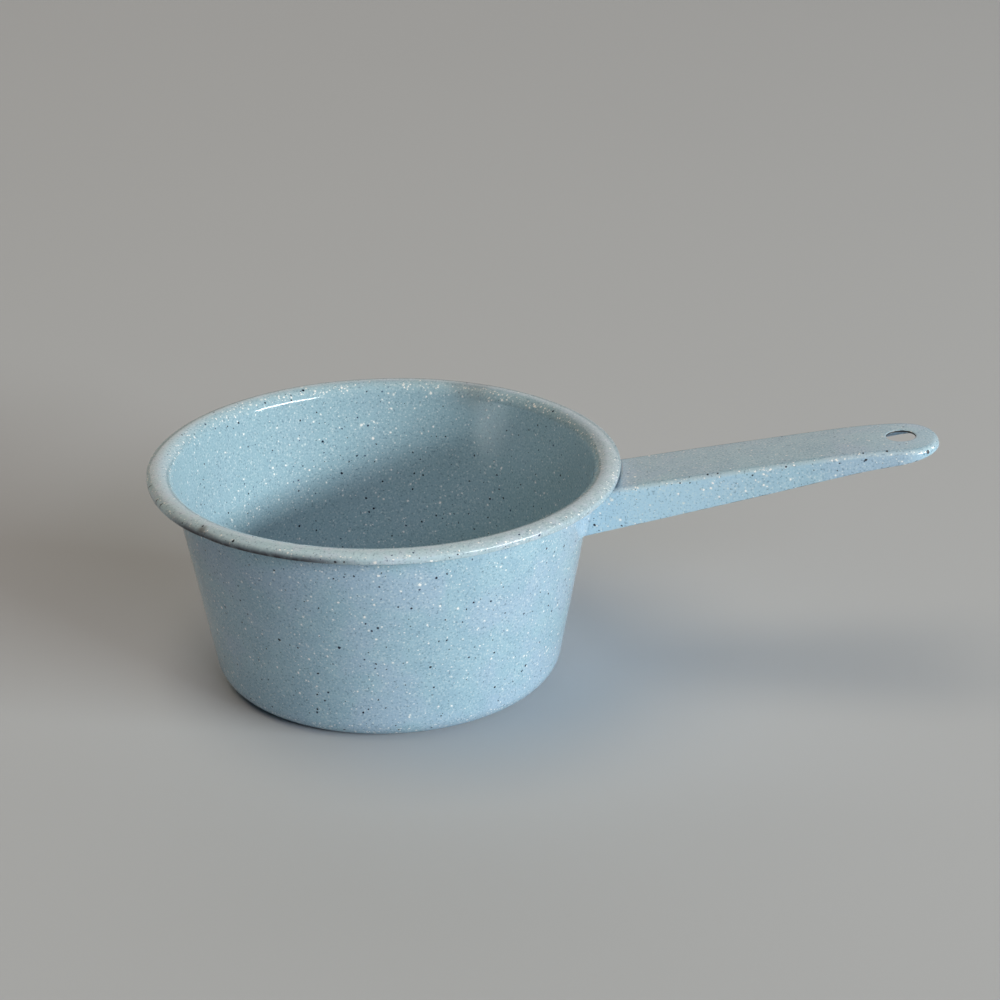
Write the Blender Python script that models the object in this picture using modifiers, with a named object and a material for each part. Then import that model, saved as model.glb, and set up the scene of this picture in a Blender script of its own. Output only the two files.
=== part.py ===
"""Speckled enamel saucepan: a deep-drawn bowl with a rolled lip, a pressed channel handle
and the weld bead that joins them.

Metres, +Z up.  The origin is the centre of the flat base and the handle runs along +X.
"""

import math

import bmesh
import bpy

# Driving dimensions
SHEET = 0.0010  # enamelled sheet steel, both coats included
CLEARANCE = 0.00035  # between pieces that touch on the real pan
RIM_RADIUS = 0.0950  # axis to the lip's outer edge
RIM_HEIGHT = 0.0912  # resting plane to the lip's crest
FLAT_RADIUS = 0.0609  # the part of the base that rests on a surface
CORNER_RADIUS = 0.0099  # base into wall, at the middle of the sheet
TAPER = math.radians(10.35)  # the wall leans out from upright
LIP_BEND = 0.0052  # wall into lip, at the middle of the sheet
BRIM_DROOP = math.radians(35)  # how far the brim turns down before its curled edge
CURL_RADIUS = 0.0009  # the tight bend at the brim's edge, at the middle of the sheet
CURL_END = math.radians(-6)  # the curled edge ends leaning slightly inwards
CURL_DROP = 0.0013  # straight edge below the curl

HANDLE_REACH = 0.2203  # axis to the handle's tip
HANDLE_TIP_START = 0.2040  # where the straight sides give way to the rounded end
HANDLE_INSIDE = 0.0720  # the blank starts here, inside the wall that trims it
HANDLE_Z = 0.0861  # top plate's height under the lip's outer edge
HANDLE_SLOPE = 0.183  # rise per unit of length there
HANDLE_BOW = 0.125  # per metre, the slope eases off along the handle
DROOP_START = 0.180  # the last stretch curves down
DROOP = 1.9  # per metre
ROOT_HALF_WIDTH = 0.0168
GRIP_HALF_WIDTH = 0.0161
WAIST_X = 0.150  # the sides stop closing in here
TIP_ROUNDNESS = 2.3  # exponent of the rounded end's superellipse
CROWN = 0.0004  # the top plate is highest along its middle
SHOULDER = 0.0026  # outer radius between top plate and skirts
DRAFT = math.radians(4)  # the skirts flare by this much
SKIRT_ROOT = 0.01665  # skirt depth under the lip's edge, shoulder included
SKIRT_EASE = 0.072  # loss of depth per metre of length
SKIRT_CURVE = 0.245  # and per square metre
SKIRT_TIP = 0.0027  # depth left at the tip
HOLE_X = 0.2053
HOLE_RADIUS = 0.00575

WELD_LEG = 0.0024
# Corners of the bead's hollow face, as shares of its leg: away from the handle, and along it
WELD_FACE = ((0.384, 0.768), (0.640, 0.512))

ENAMEL = (0.42, 0.56, 0.66, 1.0)
ENAMEL_ROUGHNESS = 0.16
WELD_ROUGHNESS = 0.22
ENAMEL_GLOSS = 0.4

# Fineness of the faceted shapes
TURN_STEPS = 72
CORNER_STEPS = 6
CREST_STEPS = 6
BRIM_STEPS = 3
CURL_STEPS = 4
SIDE_COLUMNS = 16
TIP_COLUMNS = 10
SHOULDER_STEPS = 4
SHORTEST_SKIRT = 0.0002  # below the shoulder, so that no row of points falls on another
WELD_STEPS = 4  # along each skirt, and along each half of the top plate
HOLE_STEPS = 32
SHARP_ANGLE = math.radians(35)  # edges that turn by more stay sharp
WELD_SHARP_ANGLE = math.radians(50)
MERGE_DISTANCE = 0.00001

# The cutters reach past what they cut
HOLE_CUTTER_LENGTH = 0.02
TRIM_LOW = -0.01
TRIM_HIGH = 0.12


# Small helpers


def clear_scene():
    for thing in list(bpy.data.objects):
        bpy.data.objects.remove(thing, do_unlink=True)


def new_collection(name):
    group = bpy.data.collections.new(name)
    bpy.context.scene.collection.children.link(group)
    return group


def enamel(name, roughness):
    """Vitreous enamel over steel: a coloured glass coat, so it isn't metallic."""
    material = bpy.data.materials.new(name)
    material.use_nodes = True
    shader = material.node_tree.nodes["Principled BSDF"]
    shader.inputs["Base Color"].default_value = ENAMEL
    shader.inputs["Roughness"].default_value = roughness
    shader.inputs["Metallic"].default_value = 0.0
    shader.inputs["Coat Weight"].default_value = ENAMEL_GLOSS
    return material


def mesh_object(name, group, verts, edges, faces):
    mesh = bpy.data.meshes.new(name)
    mesh.from_pydata(verts, edges, faces)
    mesh.update()
    piece = bpy.data.objects.new(name, mesh)
    group.objects.link(piece)
    return piece


def turned(name, group, profile, steps):
    """A profile of (radius, height) points, turned about Z."""
    verts = [(radius, 0.0, height) for radius, height in profile]
    edges = [(i, i + 1) for i in range(len(verts) - 1)]
    piece = mesh_object(name, group, verts, edges, [])
    screw = piece.modifiers.new("turn", "SCREW")
    screw.axis = "Z"
    screw.steps = steps
    screw.render_steps = steps
    screw.use_merge_vertices = True
    screw.merge_threshold = MERGE_DISTANCE
    screw.use_smooth_shade = True
    return piece


def as_cutter(piece):
    piece.hide_render = True
    piece.display_type = "WIRE"
    return piece


def cut(piece, cutter):
    difference = piece.modifiers.new("cut_" + cutter.name, "BOOLEAN")
    difference.operation = "DIFFERENCE"
    difference.solver = "EXACT"
    difference.object = cutter


def finish_shading(piece, material, sharp_angle):
    piece.data.materials.append(material)
    piece.data.shade_smooth()
    piece.data.set_sharp_from_angle(angle=sharp_angle)


def arc(centre, radius, start, end, steps):
    """Points on an arc, both ends included."""
    angles = [start + (end - start) * i / steps for i in range(steps + 1)]
    return [(centre[0] + radius * math.cos(a), centre[1] + radius * math.sin(a)) for a in angles]


def offset_path(path, distance):
    """The path moved sideways to its left, keeping its distance at the bends."""
    moved = []
    for i, (x, y) in enumerate(path):
        before = path[max(i - 1, 0)]
        after = path[min(i + 1, len(path) - 1)]
        along = math.atan2(after[1] - before[1], after[0] - before[0])
        moved.append((x - distance * math.sin(along), y + distance * math.cos(along)))
    return moved


# The bowl


def wall_radius(height):
    """Outer radius of the straight wall."""
    corner_height = SHEET / 2 + CORNER_RADIUS
    reach = (SHEET / 2 + CORNER_RADIUS) / math.cos(TAPER)
    return FLAT_RADIUS + reach + (height - corner_height) * math.tan(TAPER)


def lip_path():
    """Middle of the sheet, from the top of the wall over the lip to its curled edge."""
    crest_height = RIM_HEIGHT - SHEET / 2
    bend_height = crest_height - LIP_BEND
    start_height = bend_height + LIP_BEND * math.sin(TAPER)
    middle_radius = wall_radius(start_height) - SHEET / 2 / math.cos(TAPER)
    crest_radius = middle_radius + LIP_BEND * math.cos(TAPER)
    curl_radius = RIM_RADIUS - SHEET / 2 - CURL_RADIUS
    brim = CURL_RADIUS + (curl_radius - crest_radius) / math.sin(BRIM_DROOP)
    curl_height = crest_height - brim + (brim - CURL_RADIUS) * math.cos(BRIM_DROOP)
    quarter = math.pi / 2
    brim_end = quarter - BRIM_DROOP
    path = arc((crest_radius, bend_height), LIP_BEND, math.pi - TAPER, quarter, CREST_STEPS)
    path += arc((crest_radius, crest_height - brim), brim, quarter, brim_end, BRIM_STEPS)[1:]
    path += arc((curl_radius, curl_height), CURL_RADIUS, brim_end, CURL_END, CURL_STEPS)[1:]
    end_radius, end_height = path[-1]
    lean = CURL_DROP * math.tan(CURL_END)
    return path + [(end_radius + lean, end_height - CURL_DROP)]


def bowl_profile():
    """Inside of the bowl from the middle of its floor, over the lip, and back down outside."""
    corner = (FLAT_RADIUS, SHEET / 2 + CORNER_RADIUS)
    middle = [(0.0, SHEET / 2)]
    middle += arc(corner, CORNER_RADIUS, -math.pi / 2, -TAPER, CORNER_STEPS)
    middle += lip_path()
    inside = offset_path(middle, SHEET / 2)
    outside = offset_path(middle, -SHEET / 2)
    inside[0] = (0.0, SHEET)
    outside[0] = (0.0, 0.0)
    end_radius, end_height = middle[-1]
    edge = [(end_radius, end_height - SHEET / 3)]
    return inside + edge + outside[::-1]


def build_bowl(group):
    bowl = turned("bowl", group, bowl_profile(), TURN_STEPS)
    bowl.data.materials.append(enamel("bowl_enamel", ENAMEL_ROUGHNESS))


# The handle


def plate_height(x):
    """Height of the top plate's edge lines."""
    run = x - RIM_RADIUS
    droop = DROOP * max(x - DROOP_START, 0.0) ** 2
    return HANDLE_Z + HANDLE_SLOPE * run - HANDLE_BOW * run**2 - droop


def half_width(x):
    share = min(max((WAIST_X - x) / (WAIST_X - HANDLE_INSIDE), 0.0), 1.0)
    return GRIP_HALF_WIDTH + (ROOT_HALF_WIDTH - GRIP_HALF_WIDTH) * share**2


def skirt_depth(x):
    run = x - RIM_RADIUS
    return SKIRT_ROOT - SKIRT_EASE * run - SKIRT_CURVE * max(run, 0.0) ** 2


def handle_columns():
    """Stations along one side and round to the tip: x, y, plan normal and skirt depth."""
    columns = []
    for i in range(SIDE_COLUMNS):
        x = HANDLE_INSIDE + (HANDLE_TIP_START - HANDLE_INSIDE) * i / SIDE_COLUMNS
        columns.append((x, half_width(x), 0.0, 1.0, skirt_depth(x)))
    reach = HANDLE_REACH - HANDLE_TIP_START
    width = half_width(HANDLE_TIP_START)
    depth = skirt_depth(HANDLE_TIP_START)
    for i in range(TIP_COLUMNS + 1):
        angle = math.pi / 2 * i / TIP_COLUMNS
        forward = math.sin(angle) ** (2 / TIP_ROUNDNESS)
        aside = math.cos(angle) ** (2 / TIP_ROUNDNESS) if i < TIP_COLUMNS else 0.0
        slope_x = forward ** (TIP_ROUNDNESS - 1) / reach
        slope_y = aside ** (TIP_ROUNDNESS - 1) / width
        size = math.hypot(slope_x, slope_y)
        here = SKIRT_TIP + (depth - SKIRT_TIP) * (1 - forward)
        x = HANDLE_TIP_START + reach * forward
        columns.append((x, width * aside, slope_x / size, slope_y / size, here))
    return columns


def section_rows(depth):
    """(inset, drop) pairs from the plate's edge round the shoulder to the skirt's edge."""
    rows = []
    for i in range(SHOULDER_STEPS + 1):
        angle = (math.pi / 2 - DRAFT) * i / SHOULDER_STEPS
        rows.append((SHOULDER * (1 - math.sin(angle)), SHOULDER * (1 - math.cos(angle))))
    last_inset, last_drop = rows[-1]
    rest = max(depth - last_drop, SHORTEST_SKIRT)
    rows.append((last_inset - rest * math.tan(DRAFT), last_drop + rest))
    return rows


def crown_height(x, y):
    """The plate's rise over its edge lines, which fades to nothing at its rounded outline."""
    across = abs(y) / (half_width(x) - SHOULDER)
    ahead = max(x - HANDLE_TIP_START, 0.0) / (HANDLE_REACH - SHOULDER - HANDLE_TIP_START)
    return CROWN * max(1 - across**TIP_ROUNDNESS - ahead**TIP_ROUNDNESS, 0.0)


def plate_point(x, y):
    return (x, y, plate_height(x) + crown_height(x, y))


def column_points(column):
    """One column of the handle's outer surface, from its middle line to the skirt's edge."""
    x, y, normal_x, normal_y, depth = column
    edge_x = x - SHOULDER * normal_x
    edge_y = max(y - SHOULDER * normal_y, 0.0)
    points = [plate_point(edge_x, 0.0), plate_point(edge_x, edge_y / 2)]
    for inset, drop in section_rows(depth):
        row_x = x - inset * normal_x
        row_y = max(y - inset * normal_y, 0.0)
        points.append((row_x, row_y, plate_height(row_x) - drop))
    return points


def half_handle():
    """Half of the handle's outer surface as quads, open at the plane Y = 0."""
    columns = [column_points(column) for column in handle_columns()]
    rows = len(columns[0])
    verts = [point for column in columns for point in column]
    faces = []
    for i in range(len(columns) - 1):
        for j in range(rows - 1):
            a = i * rows + j
            faces.append((a, a + rows, a + rows + 1, a + 1))
    return verts, faces


def merge_doubles(piece):
    work = bmesh.new()
    work.from_mesh(piece.data)
    bmesh.ops.remove_doubles(work, verts=work.verts, dist=MERGE_DISTANCE)
    bmesh.ops.dissolve_degenerate(work, edges=work.edges, dist=MERGE_DISTANCE)
    work.to_mesh(piece.data)
    work.free()


def face_outwards(piece):
    work = bmesh.new()
    work.from_mesh(piece.data)
    bmesh.ops.recalc_face_normals(work, faces=work.faces)
    work.to_mesh(piece.data)
    work.free()


def hole_cutter(group):
    work = bmesh.new()
    bmesh.ops.create_cone(
        work,
        cap_ends=True,
        segments=HOLE_STEPS,
        radius1=HOLE_RADIUS,
        radius2=HOLE_RADIUS,
        depth=HOLE_CUTTER_LENGTH,
    )
    mesh = bpy.data.meshes.new("hang_hole")
    work.to_mesh(mesh)
    work.free()
    cutter = bpy.data.objects.new("hang_hole", mesh)
    cutter.location = (HOLE_X, 0.0, plate_height(HOLE_X))
    group.objects.link(cutter)
    return as_cutter(cutter)


def wall_cutter(group):
    """The bowl's outer cone with clearance, which trims the handle's end to the wall."""
    profile = [
        (0.0, TRIM_HIGH),
        (wall_radius(TRIM_HIGH) + CLEARANCE, TRIM_HIGH),
        (wall_radius(TRIM_LOW) + CLEARANCE, TRIM_LOW),
        (0.0, TRIM_LOW),
    ]
    return as_cutter(turned("wall_trim", group, profile, TURN_STEPS))


def build_handle(group, cutters):
    verts, faces = half_handle()
    handle = mesh_object("handle", group, verts, [], faces)
    merge_doubles(handle)
    mirror = handle.modifiers.new("mirror", "MIRROR")
    mirror.use_axis = (False, True, False)
    mirror.use_clip = True
    mirror.merge_threshold = MERGE_DISTANCE
    solidify = handle.modifiers.new("sheet", "SOLIDIFY")
    solidify.thickness = SHEET
    solidify.offset = -1
    solidify.use_even_offset = True
    cut(handle, wall_cutter(cutters))
    cut(handle, hole_cutter(cutters))
    finish_shading(handle, enamel("handle_enamel", ENAMEL_ROUGHNESS), SHARP_ANGLE)


# The weld bead


def handle_section(x):
    """Outer outline of the handle at x, as (y, z), from one skirt's edge over to the other's."""
    rows = section_rows(skirt_depth(x))
    half = [(half_width(x) - inset, plate_height(x) - drop) for inset, drop in rows]
    (low_y, low_z), (high_y, high_z) = half[-1], half[-2]
    side = []
    for i in range(WELD_STEPS):
        share = i / WELD_STEPS
        side.append((low_y + (high_y - low_y) * share, low_z + (high_z - low_z) * share))
    side += half[-2::-1]
    edge_y = half[0][0]
    across = [edge_y * (1 - i / WELD_STEPS) for i in range(1, WELD_STEPS)]
    side += [plate_point(x, y)[1:] for y in across]
    middle = [plate_point(x, 0.0)[1:]]
    return side + middle + [(-y, z) for y, z in side[::-1]]


def wall_x(y, z):
    """Where the wall's outer face stands at a height and a distance to the side."""
    return math.sqrt(wall_radius(z) ** 2 - y**2)


def bead_point(root, foot, push, out, along):
    """A point of the bead: from its foot on the handle's outline, outwards and along the handle.

    The handle rises along +X, and the bead follows it.
    """
    y = foot[0] + push[0] * out
    shift = wall_x(y, foot[1]) - root
    z = foot[1] + push[1] * out + (shift + along) * HANDLE_SLOPE
    return (wall_x(y, z) + along, y, z)


def weld_sections():
    """Closed five-point sections of the bead, one at each point of the handle's outline."""
    root = wall_x(0.0, HANDLE_Z)
    outline = handle_section(root)
    outward = offset_path(outline, -1.0)
    corners = [(CLEARANCE, CLEARANCE), (CLEARANCE, WELD_LEG)]
    corners += [(WELD_LEG * out, WELD_LEG * along) for out, along in WELD_FACE]
    corners += [(WELD_LEG, CLEARANCE)]
    sections = []
    for foot, far in zip(outline, outward, strict=True):
        push = (far[0] - foot[0], far[1] - foot[1])
        sections.append([bead_point(root, foot, push, out, along) for out, along in corners])
    return sections


def build_weld(group):
    sections = weld_sections()
    size = len(sections[0])
    verts = [point for section in sections for point in section]
    faces = []
    for i in range(len(sections) - 1):
        for j in range(size):
            after = (j + 1) % size
            a, b = i * size + j, i * size + after
            faces.append((a, b, b + size, a + size))
    faces.append(tuple(range(size))[::-1])
    faces.append(tuple(range(len(verts) - size, len(verts))))
    weld = mesh_object("handle_weld", group, verts, [], faces)
    face_outwards(weld)
    finish_shading(weld, enamel("weld_enamel", WELD_ROUGHNESS), WELD_SHARP_ANGLE)


def main():
    clear_scene()
    parts = new_collection("enamel_saucepan")
    cutters = new_collection("cutters")
    build_bowl(parts)
    build_handle(parts, cutters)
    build_weld(parts)


main()
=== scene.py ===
"""Looks of the speckled enamel saucepan: finer sheet-metal pieces, the enamel, light and camera.

Metres, +Z up.  The origin is the centre of the flat base and the handle runs along +X.
"""

import math

import bmesh
import bpy
from mathutils import Matrix, Vector, noise


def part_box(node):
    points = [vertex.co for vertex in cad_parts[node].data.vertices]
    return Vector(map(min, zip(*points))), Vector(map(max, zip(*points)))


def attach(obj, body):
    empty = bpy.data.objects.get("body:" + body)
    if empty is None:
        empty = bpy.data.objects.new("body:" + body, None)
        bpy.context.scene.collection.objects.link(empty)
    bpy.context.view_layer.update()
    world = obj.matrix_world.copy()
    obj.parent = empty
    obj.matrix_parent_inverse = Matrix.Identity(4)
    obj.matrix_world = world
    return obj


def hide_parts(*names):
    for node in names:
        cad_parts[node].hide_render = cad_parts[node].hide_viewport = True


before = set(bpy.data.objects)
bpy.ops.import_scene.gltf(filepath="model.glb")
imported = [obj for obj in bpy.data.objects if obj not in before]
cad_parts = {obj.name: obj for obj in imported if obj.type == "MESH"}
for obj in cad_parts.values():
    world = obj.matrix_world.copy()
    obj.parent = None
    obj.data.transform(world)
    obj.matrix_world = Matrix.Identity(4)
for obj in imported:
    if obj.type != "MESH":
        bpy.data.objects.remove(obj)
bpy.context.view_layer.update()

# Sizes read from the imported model
RIM_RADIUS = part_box("bowl")[1].x
RIM_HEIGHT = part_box("bowl")[1].z
HANDLE_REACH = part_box("handle")[1].x

# The bowl's design, as in the CAD source
SHEET = 0.0010  # enamelled sheet steel, both coats included
EDGE_BULGE = 0.7  # the bowl's cut edge is this much flatter than a half round
CLEARANCE = 0.00035  # between the handle's end and the wall
FLAT_RADIUS = 0.0609  # the part of the base that rests on a surface
CORNER_RADIUS = 0.0099  # base into wall, at the middle of the sheet
TAPER = math.radians(10.35)  # the wall leans out from upright
LIP_BEND = 0.0052  # wall into lip, at the middle of the sheet
BRIM_DROOP = math.radians(35)  # how far the brim turns down before its curled edge
CURL_RADIUS = 0.0009  # the tight bend at the brim's edge
CURL_END = math.radians(-6)  # the curled edge ends leaning slightly inwards
CURL_DROP = 0.0013  # straight edge below the curl
EDGE_TRIM = SHEET / 6  # what the straight edge gives up to its rounded end

# The handle's design, as in the CAD source
TIP_START = 0.2040  # where the straight sides give way to the rounded end
HANDLE_Z = 0.0861  # top plate's height under the lip's outer edge
HANDLE_SLOPE = 0.183  # rise per unit of length there
HANDLE_BOW = 0.125  # per metre, the slope eases off along the handle
DROOP_START = 0.180  # the last stretch curves down
DROOP = 1.9  # per metre
ROOT_HALF_WIDTH = 0.0168
GRIP_HALF_WIDTH = 0.0161
WIDE_X = 0.0720  # the sides are widest here
WAIST_X = 0.150  # and stop closing in here
TIP_ROUNDNESS = 2.3  # exponent of the rounded end's superellipse
CROWN = 0.0004  # the top plate is highest along its middle
SHOULDER = 0.0026  # outer radius between top plate and skirts
DRAFT = math.radians(4)  # the skirts flare by this much
SKIRT_ROOT = 0.01665  # skirt depth under the lip's edge, shoulder included
SKIRT_EASE = 0.072  # loss of depth per metre of length
SKIRT_CURVE = 0.245  # and per square metre
SKIRT_TIP = 0.0027  # depth left at the tip
HOLE_X = 0.2053
HOLE_RADIUS = 0.00575

# Mesh density
SPOKES = 360  # round the bowl
FLOOR_RINGS = 14
WALL_RINGS = 26
BODY_STATIONS = 90  # along the handle, from the wall to the hole's surroundings
SIDE_STATIONS = 8  # beside the hole
TIP_STATIONS = 34
TOP_COLUMNS = 12  # across half of the top plate
SHOULDER_ROWS = 8
SKIRT_ROWS = 12
HOLE_RINGS = 9
EDGE_STEPS = 6  # round a cut edge of the sheet
CORNER_STEPS = 14  # base into wall
LIP_BEND_STEPS = 14
BRIM_STEPS = 7
CURL_STEPS = 8
DROP_STEPS = 3
ROOT_SEARCH_STEPS = 6  # to find where a row of the handle meets the wall
FILLET_SEARCH_STEPS = 5
MERGE_DISTANCE = 0.000002
SAME_POINT = 0.0000001

# Slight unevenness that pressing and firing leave.  Each noise reads its own part of the field.
WALL_WAVE = 0.00016
WALL_WAVES_ROUND = 1.9  # noise cells from the axis to the wall
WALL_WAVES_UP = 24  # noise cells per metre of height
WALL_WAVE_START = 0.008  # the base's corner below this height is true
LIP_WAVE = 0.00013
LIP_WAVES = 1.7  # as many times finer than the wall's
LIP_NOISE_AT = Vector((7, 3, 5))
LIP_WIDTH = 0.012  # from the wall's top to the brim's edge
EDGE_WIDTH = 0.002
BASE_DISH = 0.00025  # the base's middle stands this much off the table
HANDLE_WAVE = 0.00008
HANDLE_WAVES = 60  # noise cells per metre
HANDLE_NOISE_AT = Vector((4, 9, 2))
HANDLE_WAVE_START = 0.020  # the waves grow over this length from the lip
DENT_AZIMUTH = math.radians(-129.5)
DENT_DEPTH = 0.00035
DENT_LENGTH = 0.0035

# The fillet of weld and enamel round the handle's end
FILLET_OUTSIDE = 0.0027
FILLET_INSIDE = 0.0011
FILLET_SINK = 0.00004  # its thin edges lie this far under the surfaces that it joins
FILLET_HIDDEN = 0.00035
FILLET_STEPS = 9
FILLET_SPAN = 0.005  # the handle's outline is read at two places, this far apart
ROOT_BLEND = 0.020  # length over which the handle's columns turn to follow the wall
SHOULDER_SHARE = 0.75  # the most that the shoulder takes of a short section's rows
RING_GROWTH = 1.3  # the rings round the hole widen outwards by this exponent

BARE = "bare"  # mesh attribute: 1 where the cover coat is thin, along a cut edge


# Small geometry helpers


def arc(centre, radius, start, end, steps):
    """Points on an arc, both ends included."""
    angles = [start + (end - start) * i / steps for i in range(steps + 1)]
    return [(centre[0] + radius * math.cos(a), centre[1] + radius * math.sin(a)) for a in angles]


def line(start, end, steps):
    """Points between two ends, neither of them included."""
    shares = [i / steps for i in range(1, steps)]
    return [tuple(a + (b - a) * s for a, b in zip(start, end, strict=True)) for s in shares]


def path_normals(path, closed=False):
    """Unit normals to the left of a path of 2-D points."""
    normals = []
    last = len(path) - 1
    for i in range(len(path)):
        before = path[i - 1] if closed or i > 0 else path[0]
        after = path[(i + 1) % len(path)] if closed or i < last else path[last]
        along = math.atan2(after[1] - before[1], after[0] - before[0])
        normals.append((-math.sin(along), math.cos(along)))
    return normals


def smooth_step(value, low, high):
    share = min(max((value - low) / (high - low), 0.0), 1.0)
    return share * share * (3 - 2 * share)


def grid_faces(columns, rows, closed=False):
    """Quads of a grid that stores its points column by column."""
    faces = []
    for i in range(columns if closed else columns - 1):
        for j in range(rows - 1):
            a = i * rows + j
            b = (i + 1) % columns * rows + j
            faces.append((a, b, b + 1, a + 1))
    return faces


def new_piece(name, work, bare):
    """A smooth-shaded object from a bmesh, with the value of the bare attribute at each vertex."""
    mesh = bpy.data.meshes.new(name)
    work.to_mesh(mesh)
    work.free()
    mesh.shade_smooth()
    mesh.attributes.new(BARE, "FLOAT", "POINT").data.foreach_set("value", bare)
    piece = bpy.data.objects.new(name, mesh)
    bpy.context.scene.collection.objects.link(piece)
    return piece


# The bowl


def wall_radius(height):
    """Outer radius of the straight wall."""
    corner_height = SHEET / 2 + CORNER_RADIUS
    reach = (SHEET / 2 + CORNER_RADIUS) / math.cos(TAPER)
    return FLAT_RADIUS + reach + (height - corner_height) * math.tan(TAPER)


def wall_x(y, z):
    """Where the wall's outer face stands at a height and a distance to the side."""
    return math.sqrt(wall_radius(z) ** 2 - y**2)


def lip_path():
    """Middle of the sheet, from the top of the wall over the lip to its curled edge."""
    crest_height = RIM_HEIGHT - SHEET / 2
    bend_height = crest_height - LIP_BEND
    start_height = bend_height + LIP_BEND * math.sin(TAPER)
    middle_radius = wall_radius(start_height) - SHEET / 2 / math.cos(TAPER)
    crest_radius = middle_radius + LIP_BEND * math.cos(TAPER)
    curl_radius = RIM_RADIUS - SHEET / 2 - CURL_RADIUS
    brim = CURL_RADIUS + (curl_radius - crest_radius) / math.sin(BRIM_DROOP)
    curl_height = crest_height - brim + (brim - CURL_RADIUS) * math.cos(BRIM_DROOP)
    quarter = math.pi / 2
    brim_end = quarter - BRIM_DROOP
    path = arc((crest_radius, bend_height), LIP_BEND, math.pi - TAPER, quarter, LIP_BEND_STEPS)
    path += arc((crest_radius, crest_height - brim), brim, quarter, brim_end, BRIM_STEPS)[1:]
    path += arc((curl_radius, curl_height), CURL_RADIUS, brim_end, CURL_END, CURL_STEPS)[1:]
    end_radius, end_height = path[-1]
    drop = CURL_DROP - EDGE_TRIM
    end = (end_radius + drop * math.tan(CURL_END), end_height - drop)
    return path + line(path[-1], end, DROP_STEPS) + [end]


def bowl_middle():
    """Middle of the sheet, from the axis over the floor, the wall and the lip."""
    floor = [(FLAT_RADIUS * i / FLOOR_RINGS, SHEET / 2) for i in range(1, FLOOR_RINGS)]
    corner_centre = (FLAT_RADIUS, SHEET / 2 + CORNER_RADIUS)
    corner = arc(corner_centre, CORNER_RADIUS, -math.pi / 2, -TAPER, CORNER_STEPS)
    lip = lip_path()
    return floor + corner + line(corner[-1], lip[0], WALL_RINGS) + lip


def beside(path, normals, distance):
    """The path's points moved along their normals."""
    pairs = zip(path, normals, strict=True)
    return [(x + nx * distance, y + ny * distance) for (x, y), (nx, ny) in pairs]


def rounded_outline(path, thickness):
    """Both faces of a sheet that follows the path, with a round edge between them.

    Gives (point, bareness) pairs from the left face's start to the right face's start.
    """
    normals = path_normals(path)
    half = thickness / 2
    left = [(point, 0.0) for point in beside(path, normals, half)]
    right = [(point, 0.0) for point in beside(path, normals, -half)]
    (x, y), (nx, ny) = path[-1], normals[-1]
    edge = []
    for i in range(1, EDGE_STEPS):
        turn = math.pi * i / EDGE_STEPS
        aside = half * math.cos(turn)
        ahead = half * math.sin(turn) * EDGE_BULGE
        point = (x + nx * aside + ny * ahead, y + ny * aside - nx * ahead)
        edge.append((point, math.sin(turn)))
    return left + edge + right[::-1]


def uneven(azimuth, radius, height):
    """How far the bowl's sheet stands off its true shape there: outwards, and up."""
    east, north = math.cos(azimuth) * WALL_WAVES_ROUND, math.sin(azimuth) * WALL_WAVES_ROUND
    place = Vector((east, north, height * WALL_WAVES_UP))
    up_the_wall = smooth_step(height, WALL_WAVE_START, RIM_HEIGHT)
    out = WALL_WAVE * noise.noise(place) * up_the_wall
    at_lip = smooth_step(radius, RIM_RADIUS - LIP_WIDTH, RIM_RADIUS - EDGE_WIDTH)
    up = LIP_WAVE * noise.noise(place * LIP_WAVES + LIP_NOISE_AT) * at_lip
    away = abs(math.remainder(azimuth - DENT_AZIMUTH, math.tau)) * RIM_RADIUS / DENT_LENGTH
    at_edge = smooth_step(radius, RIM_RADIUS - EDGE_WIDTH, RIM_RADIUS)
    out -= DENT_DEPTH * math.exp(-(away**2)) * at_edge
    on_flat = max(1 - (radius / FLAT_RADIUS) ** 2, 0.0)
    return out, up + BASE_DISH * on_flat


def bowl_shell():
    outline = rounded_outline(bowl_middle(), SHEET)
    work = bmesh.new()
    bare = []
    for i in range(SPOKES):
        azimuth = math.tau * i / SPOKES
        for (radius, height), bareness in outline:
            out, up = uneven(azimuth, radius, height)
            reach = radius + out
            work.verts.new((reach * math.cos(azimuth), reach * math.sin(azimuth), height + up))
            bare.append(bareness)
    verts = list(work.verts)
    rows = len(outline)
    for face in grid_faces(SPOKES, rows, closed=True):
        work.faces.new([verts[k] for k in face])
    for row, height in ((0, SHEET), (rows - 1, 0.0)):
        middle = work.verts.new((0.0, 0.0, height + BASE_DISH))
        bare.append(0.0)
        ring = [verts[i * rows + row] for i in range(SPOKES)]
        for one, other in zip(ring, ring[1:] + ring[:1], strict=True):
            work.faces.new((one, other, middle))
    bmesh.ops.recalc_face_normals(work, faces=work.faces)
    return new_piece("bowl_shell", work, bare)


# The handle


def plate_height(x):
    """Height of the top plate's edge lines."""
    run = x - RIM_RADIUS
    droop = DROOP * max(x - DROOP_START, 0.0) ** 2
    return HANDLE_Z + HANDLE_SLOPE * run - HANDLE_BOW * run**2 - droop


def half_width(x):
    share = min(max((WAIST_X - x) / (WAIST_X - WIDE_X), 0.0), 1.0)
    return GRIP_HALF_WIDTH + (ROOT_HALF_WIDTH - GRIP_HALF_WIDTH) * share**2


def skirt_depth(x):
    run = x - RIM_RADIUS
    return SKIRT_ROOT - SKIRT_EASE * run - SKIRT_CURVE * max(run, 0.0) ** 2


def crown_height(x, y):
    """The plate's rise over its edge lines, which fades to nothing at its rounded outline."""
    across = abs(y) / (half_width(x) - SHOULDER)
    ahead = max(x - TIP_START, 0.0) / (HANDLE_REACH - SHOULDER - TIP_START)
    return CROWN * max(1 - across**TIP_ROUNDNESS - ahead**TIP_ROUNDNESS, 0.0)


def plate_point(x, y):
    return (x, y, plate_height(x) + crown_height(x, y))


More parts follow.
